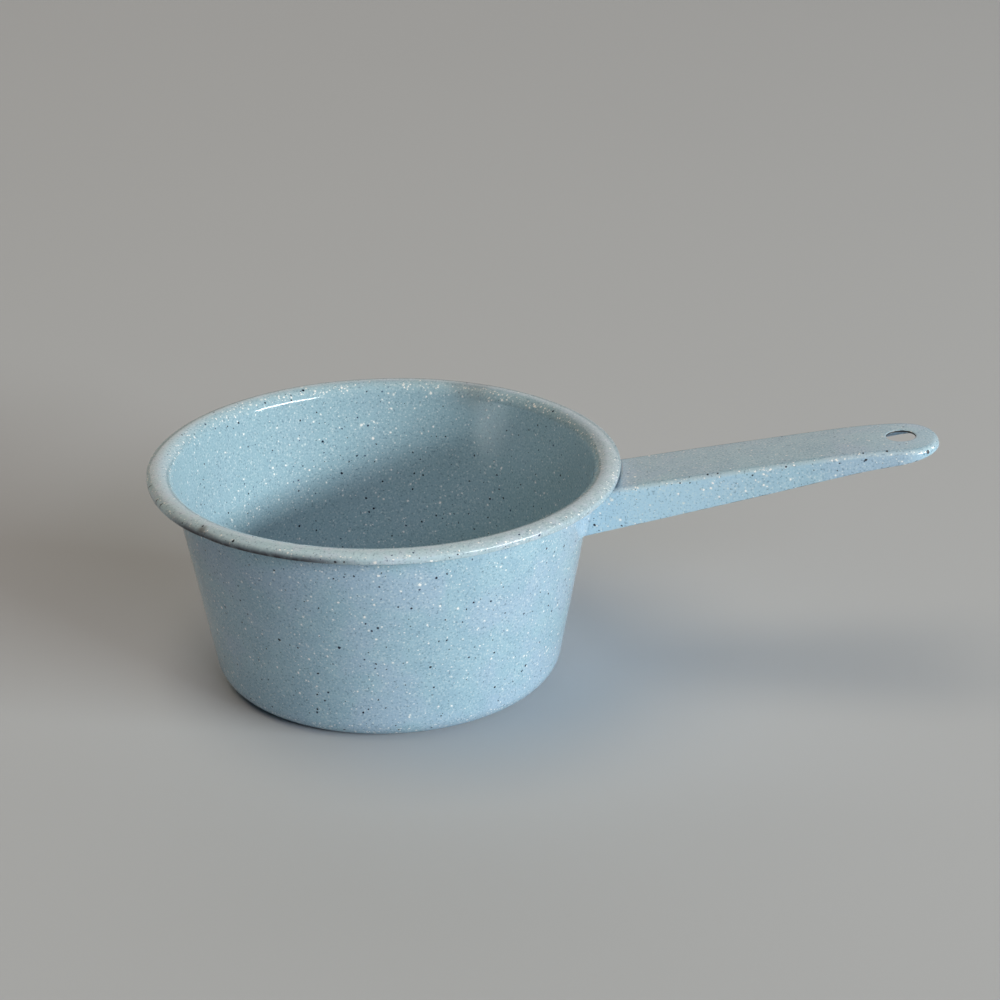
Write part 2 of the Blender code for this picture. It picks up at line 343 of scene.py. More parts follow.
def section_length(depth):
    """Length of the section from the plate's edge round the shoulder to the skirt's edge."""
    drop = depth - SHEET / 2
    full_turn = math.pi / 2 - DRAFT
    full_drop = SHOULDER * (1 - math.cos(full_turn))
    if drop <= full_drop:
        return SHOULDER * math.acos(1 - drop / SHOULDER)
    return SHOULDER * full_turn + (drop - full_drop) / math.cos(DRAFT)


def section_point(run):
    """(inset, drop) at a distance along that section."""
    turn = min(run / SHOULDER, math.pi / 2 - DRAFT)
    rest = run - turn * SHOULDER
    inset = SHOULDER * (1 - math.sin(turn)) - rest * math.sin(DRAFT)
    drop = SHOULDER * (1 - math.cos(turn)) + rest * math.cos(DRAFT)
    return inset, drop


def section_rows(depth):
    """(inset, drop) pairs, close together round the shoulder and wider apart down the skirt."""
    length = section_length(depth)
    round_part = min(SHOULDER * (math.pi / 2 - DRAFT), length * SHOULDER_SHARE)
    runs = [round_part * i / SHOULDER_ROWS for i in range(SHOULDER_ROWS)]
    runs += [round_part + (length - round_part) * i / SKIRT_ROWS for i in range(SKIRT_ROWS + 1)]
    return [section_point(run) for run in runs]


def half_section(x):
    """(y, z) points at x, from the plate's middle over the shoulder to the skirt's edge."""
    flat = half_width(x) - SHOULDER
    across = [flat * i / TOP_COLUMNS for i in range(TOP_COLUMNS)]
    plate = [(y, plate_height(x) + crown_height(x, y)) for y in across]
    rows = section_rows(skirt_depth(x))
    return plate + [(half_width(x) - inset, plate_height(x) - drop) for inset, drop in rows]


def root_ends():
    """x at which each row of the section meets the bowl's wall, less the clearance."""
    ends = []
    for row in range(len(half_section(RIM_RADIUS))):
        x = RIM_RADIUS
        for _ in range(ROOT_SEARCH_STEPS):
            y, z = half_section(x)[row]
            x = wall_x(y, z) + CLEARANCE
        ends.append(x)
    return ends


def body_columns():
    """Columns of points from the wall to the hole's surroundings."""
    ends = root_ends()
    start = ends[0]
    stop = HOLE_X - GRIP_HALF_WIDTH + SHOULDER
    columns = []
    for i in range(BODY_STATIONS + 1):
        x = start + (stop - start) * i / BODY_STATIONS
        fade = max(1 - (x - start) / ROOT_BLEND, 0.0)
        column = []
        for row, end in enumerate(ends):
            row_x = x + fade * (end - start)
            y, z = half_section(row_x)[row]
            column.append((row_x, y, z))
        columns.append(column)
    return columns


def tip_stations(start):
    """Plan points from beside the hole round to the tip: x, y, plan normal and skirt depth."""
    stations = []
    for i in range(SIDE_STATIONS):
        x = start + (TIP_START - start) * i / SIDE_STATIONS
        stations.append((x, half_width(x), 0.0, 1.0, skirt_depth(x)))
    reach = HANDLE_REACH - TIP_START
    width = half_width(TIP_START)
    depth = skirt_depth(TIP_START)
    for i in range(TIP_STATIONS + 1):
        angle = math.pi / 2 * i / TIP_STATIONS
        forward = math.sin(angle) ** (2 / TIP_ROUNDNESS)
        aside = math.cos(angle) ** (2 / TIP_ROUNDNESS) if i < TIP_STATIONS else 0.0
        slope_x = forward ** (TIP_ROUNDNESS - 1) / reach
        slope_y = aside ** (TIP_ROUNDNESS - 1) / width
        size = math.hypot(slope_x, slope_y)
        here = SKIRT_TIP + (depth - SKIRT_TIP) * (1 - forward)
        x = TIP_START + reach * forward
        stations.append((x, width * aside, slope_x / size, slope_y / size, here))
    return stations


def tip_strip(stations):
    """Shoulder and skirt round the tip, one column of points per station."""
    columns = []
    for x, y, normal_x, normal_y, depth in stations:
        column = []
        for inset, drop in section_rows(depth):
            row_x = x - inset * normal_x
            row_y = max(y - inset * normal_y, 0.0)
            column.append((row_x, row_y, plate_height(row_x) - drop))
        columns.append(column)
    return columns


def hole_surroundings(start, stations):
    """The plate between the hole and its outline, in rings that turn from one into the other."""
    flat = half_width(start) - SHOULDER
    outline = [(start, flat * i / TOP_COLUMNS) for i in range(TOP_COLUMNS)]
    for x, y, normal_x, normal_y, _ in stations:
        outline.append((x - SHOULDER * normal_x, max(y - SHOULDER * normal_y, 0.0)))
    near = HOLE_RADIUS + SHEET / 2  # the round cut edge bulges into the hole by half a sheet
    shares = [(i / HOLE_RINGS) ** RING_GROWTH for i in range(HOLE_RINGS + 1)]
    columns = []
    for x, y in outline:
        away = math.hypot(x - HOLE_X, y)
        ahead, aside = (x - HOLE_X) / away, y / away
        reaches = [near + (away - near) * share for share in shares]
        columns.append([plate_point(HOLE_X + ahead * r, aside * r) for r in reaches])
    return columns


def add_patch(work, columns):
    """A grid of faces, as triangles where two corners fall together."""
    verts = [work.verts.new(point) for column in columns for point in column]
    for face in grid_faces(len(columns), len(columns[0])):
        distinct = []
        for corner in (verts[k] for k in face):
            if all((corner.co - other.co).length > SAME_POINT for other in distinct):
                distinct.append(corner)
        if len(distinct) > 2:
            work.faces.new(distinct)


def half_handle(work):
    """Outer face of one half of the handle, from the plane Y = 0 to one side."""
    body = body_columns()
    start = body[-1][0][0]
    stations = tip_stations(start)
    add_patch(work, body)
    add_patch(work, tip_strip(stations))
    add_patch(work, hole_surroundings(start, stations))


def mirror_half(work):
    """Adds the half's mirror image and joins the two along the plane Y = 0."""
    copy = bmesh.ops.duplicate(work, geom=list(work.verts) + list(work.faces))
    fresh = [part for part in copy["geom"] if isinstance(part, bmesh.types.BMVert)]
    for vert in fresh:
        vert.co.y = -vert.co.y
    loose = [vert for vert in work.verts if not vert.link_faces]
    bmesh.ops.delete(work, geom=loose, context="VERTS")
    bmesh.ops.remove_doubles(work, verts=work.verts, dist=MERGE_DISTANCE)
    bmesh.ops.recalc_face_normals(work, faces=work.faces)


def face_up(work):
    """Turns the surface so that the top plate's normals point up."""
    top = max(work.faces, key=lambda face: face.normal.z**2)
    if top.normal.z < 0:
        bmesh.ops.reverse_faces(work, faces=work.faces)
    work.normal_update()


def thicken(work, thickness):
    """Gives an open surface an inner face and round cut edges.  Returns bareness by vertex."""
    work.verts.index_update()
    outer = list(work.verts)
    outer_faces = [tuple(vert.index for vert in face.verts) for face in work.faces]
    normals = [vert.normal.copy() for vert in outer]
    rims = [edge for edge in work.edges if len(edge.link_faces) == 1]
    inner = [work.verts.new(v.co - n * thickness) for v, n in zip(outer, normals, strict=True)]
    for face in outer_faces:
        work.faces.new([inner[k] for k in reversed(face)])
    bare = [0.0] * (2 * len(outer))
    next_along = {}
    for edge in rims:
        loop = edge.link_loops[0]
        next_along[loop.vert.index] = loop.link_loop_next.vert.index
    before_along = {b: a for a, b in next_along.items()}
    edge_rows = {}
    for k, after in next_along.items():
        tangent = (outer[after].co - outer[before_along[k]].co).normalized()
        outward = tangent.cross(normals[k])
        middle = outer[k].co - normals[k] * (thickness / 2)
        row = [outer[k]]
        for i in range(1, EDGE_STEPS):
            turn = math.pi * i / EDGE_STEPS
            swing = normals[k] * math.cos(turn) + outward * math.sin(turn)
            row.append(work.verts.new(middle + swing * (thickness / 2)))
            bare.append(math.sin(turn))
        row.append(inner[k])
        edge_rows[k] = row
    for k, after in next_along.items():
        one = edge_rows[k]
        other = edge_rows[after]
        for i in range(EDGE_STEPS):
            work.faces.new((one[i], one[i + 1], other[i + 1], other[i]))
    return bare


def handle_shell():
    work = bmesh.new()
    half_handle(work)
    mirror_half(work)
    face_up(work)
    bare = thicken(work, SHEET)
    bmesh.ops.recalc_face_normals(work, faces=work.faces)
    for vert in work.verts:
        sway = HANDLE_WAVE * smooth_step(vert.co.x, RIM_RADIUS, RIM_RADIUS + HANDLE_WAVE_START)
        vert.co.z += sway * noise.noise(vert.co * HANDLE_WAVES)
        vert.co.y += sway * noise.noise(vert.co * HANDLE_WAVES + HANDLE_NOISE_AT)
    return new_piece("handle_shell", work, bare)


# The fillet where the handle joins the bowl


def sheet_loop(x):
    """Closed (y, z) outline of the handle's sheet at x, and the fillet's leg at each point."""
    half = half_section(x)
    normals = path_normals(half)
    inner = beside(half, normals, -SHEET)
    ny, nz = normals[-1]
    centre_y, centre_z = beside(half, normals, -SHEET / 2)[-1]
    edge = []
    legs = [FILLET_OUTSIDE] * len(half)
    for i in range(1, EDGE_STEPS):
        turn = math.pi * i / EDGE_STEPS
        aside = SHEET / 2 * math.cos(turn)
        ahead = SHEET / 2 * math.sin(turn)
        edge.append((centre_y + ny * aside + nz * ahead, centre_z + nz * aside - ny * ahead))
        legs.append(FILLET_OUTSIDE + (FILLET_INSIDE - FILLET_OUTSIDE) * i / EDGE_STEPS)
    legs += [FILLET_INSIDE] * len(inner)
    side = list(zip(half + edge + inner[::-1], legs, strict=True))
    mirrored = [((-y, z), leg) for (y, z), leg in side[-2:0:-1]]
    return side + mirrored


def fillet_section(leg):
    """(along the handle, away from it) points: a hollow quarter round and its hidden back."""
    section = []
    for i in range(FILLET_STEPS + 1):
        turn = math.pi / 2 * i / FILLET_STEPS
        along = leg * (1 - math.cos(turn)) - FILLET_SINK
        away = leg * (1 - math.sin(turn)) - FILLET_SINK
        section.append((along, away))
    section.append((leg - FILLET_SINK, -FILLET_HIDDEN))
    section.append((-FILLET_HIDDEN, -FILLET_HIDDEN))
    section.append((-FILLET_HIDDEN, leg - FILLET_SINK))
    return section


def fillet_columns():
    """The fillet's section at each point of the handle's outline, set against the wall."""
    root = wall_x(0.0, HANDLE_Z)
    near = sheet_loop(root)
    far = sheet_loop(root + FILLET_SPAN)
    normals = path_normals([point for point, _ in near], closed=True)
    columns = []
    for ((y0, z0), leg), ((y1, z1), _), (ny, nz) in zip(near, far, normals, strict=True):
        column = []
        for along, out in fillet_section(leg):
            x = root
            for _ in range(FILLET_SEARCH_STEPS):
                share = (x - root) / FILLET_SPAN
                y = y0 + (y1 - y0) * share + ny * out
                z = z0 + (z1 - z0) * share + nz * out
                x = wall_x(y, z) + along
            column.append((x, y, z))
        columns.append(column)
    return columns


def weld_fillet():
    columns = fillet_columns()
    work = bmesh.new()
    size = len(columns[0])
    verts = [work.verts.new(point) for column in columns for point in column]
    for i in range(len(columns)):
        here = i * size
        beyond = (i + 1) % len(columns) * size
        for j in range(size):
            after = (j + 1) % size
            face = (here + j, beyond + j, beyond + after, here + after)
            work.faces.new([verts[k] for k in face])
    bmesh.ops.recalc_face_normals(work, faces=work.faces)
    bare = [0.0] * len(verts)
    return new_piece("weld_fillet", work, bare)


# Materials

COVER_COAT = (0.355, 0.550, 0.665)
COVER_COAT_DEEP = (0.320, 0.505, 0.630)
COVER_COAT_VIOLET = (0.372, 0.525, 0.675)
SHADED_INSIDE_COAT = (0.330, 0.500, 0.585)  # painted shade: the bowl's inside is darker and greyer
PALE_LIT_LIP_COAT = (0.515, 0.672, 0.735)  # the glaze is thinner and paler over the lip; on its near left side this paler colour is also painted light
LIP_COAT_VIOLET = (0.640, 0.690, 0.800)
SHADED_LIP_COAT = (0.400, 0.505, 0.545)  # and greyer on its far side: painted shade
PALE_LIT_SKIRT_COAT = (0.430, 0.665, 0.825)  # and paler on the handle's skirts, most of all at the bowl: partly a paler coat, partly painted light
WHITE_SPECK = (0.95, 0.96, 0.95)
PALE_SPECK = (0.64, 0.76, 0.80)
DARK_SPECK = (0.012, 0.017, 0.040)
NAVY_SPECK = (0.050, 0.090, 0.180)
# Dark ground coat where the cover coat is chipped or worn; also painted shade on the near-left
# lip's curl.
GROUND_COAT_AND_SHADE = (0.020, 0.022, 0.032)
STAIN = (0.20, 0.21, 0.21)

# Cloudy patterns: size of the clouds in metres, their detail, the noise values at which the
# pattern is at its start and at its end, and how strong it is at each
PATTERNS = {
    "mottling": (0.0090, 4.0, 0.35, 0.65, 0.0, 1.0),
    "violet_tint": (0.0220, 2.0, 0.42, 0.66, 0.0, 0.8),
    "violet_lip": (0.0040, 4.0, 0.45, 0.70, 0.0, 0.5),
    "pale_grain": (0.0008, 1.0, 0.54, 0.78, 0.0, 0.60),
    "dark_grain": (0.0008, 1.0, 0.45, 0.20, 0.0, 0.50),
    "crowding": (0.0100, 2.0, 0.40, 0.62, 0.45, 1.0),
    "gathering": (0.0180, 2.0, 0.35, 0.60, 0.25, 1.0),
    # Patchiness of the lip's wear, and of its painted shade on the near left.
    "lip_wear_and_shade": (0.0040, 2.0, 0.30, 0.55, 0.8, 1.0),
    "cut_wear": (0.0035, 3.0, 0.35, 0.65, 0.6, 1.5),
    "base_chips": (0.0028, 3.0, 0.60, 0.64, 0.0, 1.0),
    "roughness": (0.0140, 5.0, 0.35, 0.70, 0.10, 0.17),
}

# Masks: the values at which each is at its start and at its end, and how strong it is at each
MASKS = {
    "chip": (0.75, 1.0, 1.0, 0.0),  # distance from its middle, in half sizes
    "lip_edge": (RIM_RADIUS - 0.0016, RIM_RADIUS - 0.0006, 0.0, 1.0),  # radius
    "cut_edge": (0.70, 0.95, 0.0, 1.0),  # bareness
    "base_ring": (0.0, 0.004, 1.0, 0.0),  # distance from the ring that the pan rests on
    "base_face": (0.0003, 0.0006, 1.0, 0.0),  # height
    "bend": (0.05, 0.22, 0.0, 1.0),  # level share of the surface times its upright share
    "level": (0.93, 0.98, 0.0, 1.0),  # rise of the surface's normal
    "upright": (0.3, 0.8, 1.0, 0.0),  # the same
    "facing_in": (-0.7, 0.0, 0.8, 0.0),  # how far the surface faces away from the axis
    "lit_lip_side": (-0.5, 0.5, 0.0, 1.0),  # cosine of the angle from the side with the lip's painted light
    "lip": (RIM_RADIUS - 0.010, RIM_RADIUS - 0.003, 0.0, 0.75),  # radius
    "off_wall": (0.0005, 0.0040, 0.0, 1.0),  # distance from the wall's outer face
    "near_bowl": (0.100, 0.205, 1.0, 0.0),  # distance from the axis, along the handle; fades the skirts' painted light
    "pure_white": (0.0, 0.5, 0.0, 1.0),  # a white speck's random tone
    "navy": (0.5, 1.0, 0.0, 1.0),  # a dark speck's random tone
}

# Layers of specks: cell of the scatter and largest radius in mm, share of cells with a speck,
# and where in the scatter the layer is read.  The bend layer is only on bends, where the
# glaze drains and its white flecks gather.
WHITE_LAYERS = (
    (1.7, 0.30, 0.90, 0.31),
    (2.7, 0.50, 0.85, 0.48),
    (5.0, 0.68, 0.60, 0.65),
)
BEND_LAYER = (1.5, 0.46, 0.95, 0.82)
DARK_LAYERS = (
    (2.3, 0.28, 0.65, 1.13),
    (3.4, 0.54, 0.55, 1.32),
    (8.0, 0.75, 0.50, 1.51),
)
SMALLEST_SPECK = 0.55  # of a layer's largest radius
SPECK_SOFTNESS = 0.00010  # width of a speck's blurred edge
RAGGED_SIZE = 0.0010  # a speck's outline is moved about by noise of this size
RAGGED_REACH = 0.00045  # by up to this much
HALO_REACH = 2.0  # a white speck melts into the blue round it, out to this many times its radius
HALO_STRENGTH = 0.20
LEVEL_LOSS = 0.6  # level surfaces hold fewer specks by this share
BEND_HIGHLIGHT = 0.25  # painted highlight: the handle's bends are paler by this share

# Where the cover coat has chipped off the lip: azimuth in degrees, then radius, height, and
# the chip's half size along the lip and across it, in mm
LIP_CHIPS = (
    (-161.6, 94.6, 89.5, 0.40, 1.7),
    (-152.9, 94.9, 88.9, 0.40, 1.8),
    (-149.9, 94.8, 89.2, 0.40, 1.8),
    (-120.7, 94.3, 90.0, 0.60, 0.7),
    (-94.9, 94.9, 88.2, 0.65, 0.6),
    (-92.9, 95.0, 88.4, 0.50, 0.5),
)
# And off the handle: x, y, z and half size in mm
HANDLE_CHIPS = (
    (214.9, -12.7, 102.2, 0.9),
    (198.9, -14.3, 103.0, 0.6),
    (190.8, -16.1, 99.8, 0.6),
)
CHIP_RAGGED_SIZE = 0.0011
CHIP_RAGGED_REACH = 0.0004
FAR_OFF = 9.0  # further than any chip, in half sizes
# Stretches where the lip's edge is worn thin, and on the near left also darkened as painted shade:
# azimuths at which it starts and ends, the lengths over which it fades in and out, all in degrees,
# and the heights in mm between which it fades
WORN_AND_SHADED_EDGES = (
    (13.0, 47.0, 3.0, 3.0, 87.0, 88.4),
    # The near left stretch is wear and painted shade on the curl's lower outer face.
    (-150.0, -80.0, 16.0, 26.0, 87.6, 91.0),
)
HOLE_WEAR = 1.05  # the hang hole's edge is worn all round
# Grey smudges on the lip: azimuth in degrees, then radius, height and reach in mm, and strength
STAINS = (
    (70.0, 87.0, 90.2, 16.0, 0.45),
    (-131.0, 94.2, 89.9, 3.4, 0.90),
)
LIT_LIP_AZIMUTH = math.radians(-155)  # the lip's coat is palest on this side: painted light
LIP_COAT_BOTTOM = RIM_HEIGHT - 0.0047  # the lip's own coat ends here, above the handle's root
STAIN_RAGGED_SIZE = 0.4  # of a stain's reach
STAIN_RAGGED_REACH = 0.2

IOR = 1.52
BARE_ROUGHNESS = 0.35  # what a bare spot adds to the roughness
ORANGE_PEEL = 0.000006
ORANGE_PEEL_SIZE = 0.0045
SPECK_RELIEF = 0.000012
CHIP_DEPTH = 0.00012


def opaque(rgb):
    return (*rgb, 1.0)


def direction(azimuth, elevation):
    """Unit vector towards an azimuth and an elevation in degrees."""
    turn = math.radians(azimuth)
    rise = math.radians(elevation)
    flat = math.cos(rise)
    return Vector((flat * math.cos(turn), flat * math.sin(turn), math.sin(rise)))


class Recipe:
    """A material's node tree, with one method for each kind of step."""

    def __init__(self, name):
        self.material = bpy.data.materials.new(name)
        self.material.use_nodes = True
        self.tree = self.material.node_tree
        self.shader = self.tree.nodes["Principled BSDF"]
        coordinates = self.add("ShaderNodeTexCoord")
        self.place = coordinates.outputs["Object"]
        self.normal = coordinates.outputs["Normal"]

    def add(self, kind, **settings):
        node = self.tree.nodes.new(kind)
        for key, value in settings.items():
            setattr(node, key, value)
        return node

    def feed(self, socket, value):
        if isinstance(value, bpy.types.NodeSocket):
            self.tree.links.new(value, socket)
        else:
            socket.default_value = value

    def calc(self, operation, *values, clamp=False):
        node = self.add("ShaderNodeMath", operation=operation, use_clamp=clamp)
        for socket, value in zip(node.inputs, values, strict=False):
            self.feed(socket, value)
        return node.outputs[0]

    def product(self, first, *others):
        for other in others:
            first = self.calc("MULTIPLY", first, other)
        return first

    def opposite(self, value):
        return self.calc("SUBTRACT", 1.0, value)

    def vector(self, operation, first, second=(0.0, 0.0, 0.0)):
        node = self.add("ShaderNodeVectorMath", operation=operation)
        self.feed(node.inputs[0], first)
        self.feed(node.inputs[1], second)
        gives_number = operation in ("LENGTH", "DISTANCE", "DOT_PRODUCT")
        return node.outputs["Value"] if gives_number else node.outputs[0]

    def scaled(self, vector, factor):
        node = self.add("ShaderNodeVectorMath", operation="SCALE")
        self.feed(node.inputs[0], vector)
        self.feed(node.inputs["Scale"], factor)
        return node.outputs[0]

    def level_part(self, vector):
        return self.vector("MULTIPLY", vector, (1.0, 1.0, 0.0))

    def parts(self, vector):
        """The vector's X, Y and Z."""
        node = self.add("ShaderNodeSeparateXYZ")
        self.feed(node.inputs[0], vector)
        return node.outputs

    def spread(self, value, low, high, to_low=0.0, to_high=1.0):
        """Maps low..high onto to_low..to_high, with soft ends."""
        node = self.add("ShaderNodeMapRange", interpolation_type="SMOOTHSTEP")
        for socket, entry in zip(node.inputs, (value, low, high, to_low, to_high), strict=False):
            self.feed(socket, entry)
        return node.outputs[0]

    def cloud(self, place, size, detail=2.0):
        """Cloudy noise, with features of about that size in metres."""
        node = self.add("ShaderNodeTexNoise")
        self.feed(node.inputs["Vector"], place)
        self.feed(node.inputs["Scale"], 1.0 / size)
        self.feed(node.inputs["Detail"], detail)
        return node

    def pattern(self, name):
        """One of the cloudy patterns above."""
        size, detail, *limits = PATTERNS[name]
        return self.spread(self.cloud(self.place, size, detail).outputs[0], *limits)

    def mask(self, name, value):
        """One of the masks above, at a value."""
        return self.spread(value, *MASKS[name])

    def blend(self, share, first, second):
        """A colour that goes from the first to the second as share goes from 0 to 1."""
        node = self.add("ShaderNodeMix", data_type="RGBA")
        colours = [socket for socket in node.inputs if socket.type == "RGBA"]
        self.feed(node.inputs[0], share)
        self.feed(colours[0], first)
        self.feed(colours[1], second)
        return next(socket for socket in node.outputs if socket.type == "RGBA")

    def jostled(self, size, reach):
        """The place moved about by noise of that size, by up to that reach."""
        noise_colour = self.cloud(self.place, size).outputs["Color"]
        wobble = self.vector("SUBTRACT", noise_colour, (0.5, 0.5, 0.5))
        return self.vector("ADD", self.place, self.scaled(wobble, reach * 2))

    def specks(self, place, layer, density):
        """One layer of scattered specks: their mask, the halo round them, and a random tone."""
        cell, radius, most, offset = layer
        largest = radius / cell
        voronoi = self.add("ShaderNodeTexVoronoi", feature="F1")
        self.feed(voronoi.inputs["Vector"], self.vector("ADD", place, (offset, offset / 2, offset)))
        self.feed(voronoi.inputs["Scale"], 1000 / cell)
        pick = self.add("ShaderNodeSeparateColor")
        self.feed(pick.inputs[0], voronoi.outputs["Color"])
        range_of_sizes = (1 - SMALLEST_SPECK) * largest
        reach = self.calc("MULTIPLY_ADD", pick.outputs[1], range_of_sizes, SMALLEST_SPECK * largest)
        away = voronoi.outputs["Distance"]
        softness = SPECK_SOFTNESS * 1000 / cell
        mask = self.calc("DIVIDE", self.calc("SUBTRACT", reach, away), softness, clamp=True)
        halo_end = self.calc("MULTIPLY", reach, HALO_REACH)
        halo = self.spread(away, reach, halo_end, HALO_STRENGTH, 0.0)
        share = self.calc("MULTIPLY", density, most)
        chosen = self.calc("LESS_THAN", pick.outputs[0], share)
        return self.product(mask, chosen), self.product(halo, chosen), pick.outputs[2]


def round_the_axis(recipe, place):
    """Azimuth in radians, radius and height of a place."""
    x, y, height = recipe.parts(place)
    azimuth = recipe.calc("ARCTAN2", y, x)
    radius = recipe.vector("LENGTH", recipe.level_part(place))
    return azimuth, radius, height


def chip_distance(recipe, place, centre, half_sizes):
    """Distance from a chip's centre, as a share of its half size in each direction."""
    offset = recipe.vector("SUBTRACT", place, tuple(value / 1000 for value in centre))
    shares = recipe.vector("MULTIPLY", offset, tuple(1000 / size for size in half_sizes))
    return recipe.vector("LENGTH", shares)


def chip_mask(recipe):
    """1 inside a chip, with a ragged outline."""
    ragged = recipe.jostled(CHIP_RAGGED_SIZE, CHIP_RAGGED_REACH)
    azimuth, radius, height = round_the_axis(recipe, ragged)
    rolled_out = recipe.add("ShaderNodeCombineXYZ")
    recipe.feed(rolled_out.inputs[0], recipe.calc("MULTIPLY", azimuth, RIM_RADIUS))
    recipe.feed(rolled_out.inputs[1], radius)
    recipe.feed(rolled_out.inputs[2], height)
    along_lip = rolled_out.outputs[0]
    nearest = FAR_OFF
    for angle, reach, level, along, across in LIP_CHIPS:
        centre = (math.radians(angle) * RIM_RADIUS * 1000, reach, level)
        away = chip_distance(recipe, along_lip, centre, (along, across, across))
        nearest = recipe.calc("MINIMUM", away, nearest)
    for *centre, size in HANDLE_CHIPS:
        away = chip_distance(recipe, ragged, centre, (size, size, size))
        nearest = recipe.calc("MINIMUM", away, nearest)
    return recipe.mask("chip", nearest)


def worn_and_shaded_stretch(recipe, stretch):
    """How worn one stretch of the lip's outer edge is; on the near left the darkening is also
    painted shade.
    """
    start, end, fade_in, fade_out = (math.radians(angle) for angle in stretch[:4])
    full, gone = (level / 1000 for level in stretch[4:])
    azimuth, radius, height = round_the_axis(recipe, recipe.place)
    begun = recipe.spread(azimuth, start, start + fade_in)
    not_over = recipe.spread(azimuth, end - fade_out, end, 1.0, 0.0)
    low = recipe.spread(height, full, gone, 1.0, 0.0)
    return recipe.product(begun, not_over, recipe.mask("lip_edge", radius), low)


def worn_and_shaded_edges(recipe):
    """Where the dark ground coat shows through along the sheet's edges, and painted shade along the
    near-left lip's curl.
    """
    on_lip = 0.0
    for stretch in WORN_AND_SHADED_EDGES:
        on_lip = recipe.calc("MAXIMUM", worn_and_shaded_stretch(recipe, stretch), on_lip)
    on_lip = recipe.product(on_lip, recipe.pattern("lip_wear_and_shade"))
    bare = recipe.add("ShaderNodeAttribute", attribute_name=BARE).outputs["Fac"]
    from_hole = recipe.vector("DISTANCE", recipe.level_part(recipe.place), (HOLE_X, 0.0, 0.0))
    at_hole = recipe.calc("LESS_THAN", from_hole, HOLE_RADIUS + SHEET)
    hole_wear = recipe.product(at_hole, HOLE_WEAR)
    wear = recipe.calc("MAXIMUM", recipe.pattern("cut_wear"), hole_wear)
    at_cut = recipe.mask("cut_edge", recipe.product(bare, wear))
    return recipe.calc("MAXIMUM", on_lip, at_cut)


def base_wear(recipe):
    """Small chips round the edge that the pan rests on."""
    _, radius, height = round_the_axis(recipe, recipe.place)
    from_ring = recipe.calc("ABSOLUTE", recipe.calc("SUBTRACT", radius, FLAT_RADIUS))
    ring = recipe.mask("base_ring", from_ring)
    return recipe.product(ring, recipe.mask("base_face", height), recipe.pattern("base_chips"))


def on_bends(recipe):
    """1 where the surface is halfway between level and upright, as on shoulders and lips."""
    rise = recipe.parts(recipe.normal)[2]
    level = recipe.calc("POWER", rise, 2.0)
    return recipe.mask("bend", recipe.product(level, recipe.opposite(level)))


def on_level(recipe):
    """1 on level surfaces, such as the handle's top plate."""
    return recipe.mask("level", recipe.parts(recipe.normal)[2])


def blue_coat(recipe):
    """Mottled blue with a violet tint in places."""
    mottling = recipe.pattern("mottling")
    colour = recipe.blend(mottling, opaque(COVER_COAT), opaque(COVER_COAT_DEEP))
    return recipe.blend(recipe.pattern("violet_tint"), colour, opaque(COVER_COAT_VIOLET))


def lit_and_shaded_lip_coat(recipe, azimuth):
    # Painted light and shade: the lip's coat is palest on its near left side and greyer on its far
    # side.
    turn = recipe.calc("SUBTRACT", azimuth, LIT_LIP_AZIMUTH)
    side = recipe.mask("lit_lip_side", recipe.calc("COSINE", turn))
    colour = recipe.blend(side, opaque(SHADED_LIP_COAT), opaque(PALE_LIT_LIP_COAT))
    return recipe.blend(recipe.pattern("violet_lip"), colour, opaque(LIP_COAT_VIOLET))


def cover_coat(recipe):
    """The coat's colour: blue, duller inside as painted shade, paler over the lip with painted
    light and shade on it, and paler on the handle with painted light.
    """
    azimuth, radius, height = round_the_axis(recipe, recipe.place)
    on_bowl = recipe.calc("LESS_THAN", radius, RIM_RADIUS + SHEET)
    outwards = recipe.vector("NORMALIZE", recipe.level_part(recipe.place))
    faces_out = recipe.vector("DOT_PRODUCT", recipe.normal, outwards)
    # Painted shade: the bowl's inside gets a darker, greyer coat.
    inside = recipe.product(on_bowl, recipe.mask("facing_in", faces_out))
    colour = recipe.blend(inside, blue_coat(recipe), opaque(SHADED_INSIDE_COAT))

    # The lip's coat, paler where its glaze is thinner, carries painted light and shade.
    above_handle = recipe.calc("GREATER_THAN", height, LIP_COAT_BOTTOM)
    lip_share = recipe.product(recipe.mask("lip", radius), on_bowl, above_handle)
    colour = recipe.blend(lip_share, colour, lit_and_shaded_lip_coat(recipe, azimuth))

    wall = recipe.calc("MULTIPLY_ADD", height, math.tan(TAPER), wall_radius(0.0))
    off_wall = recipe.mask("off_wall", recipe.calc("SUBTRACT", radius, wall))
    off_lip = recipe.opposite(recipe.product(on_bowl, above_handle))
    on_handle = recipe.product(off_wall, off_lip)
    upright = recipe.mask("upright", recipe.parts(recipe.normal)[2])
    # Painted light, partly a paler coat: the handle's upright skirts are paler, most of all at the
    # bowl.
    skirt = recipe.product(upright, recipe.mask("near_bowl", radius), on_handle)
    colour = recipe.blend(skirt, colour, opaque(PALE_LIT_SKIRT_COAT))
    # Painted highlight: a paler band along the handle's bends.
    bend = recipe.product(on_bends(recipe), BEND_HIGHLIGHT, on_handle)
    return recipe.blend(bend, colour, opaque(PALE_SPECK))


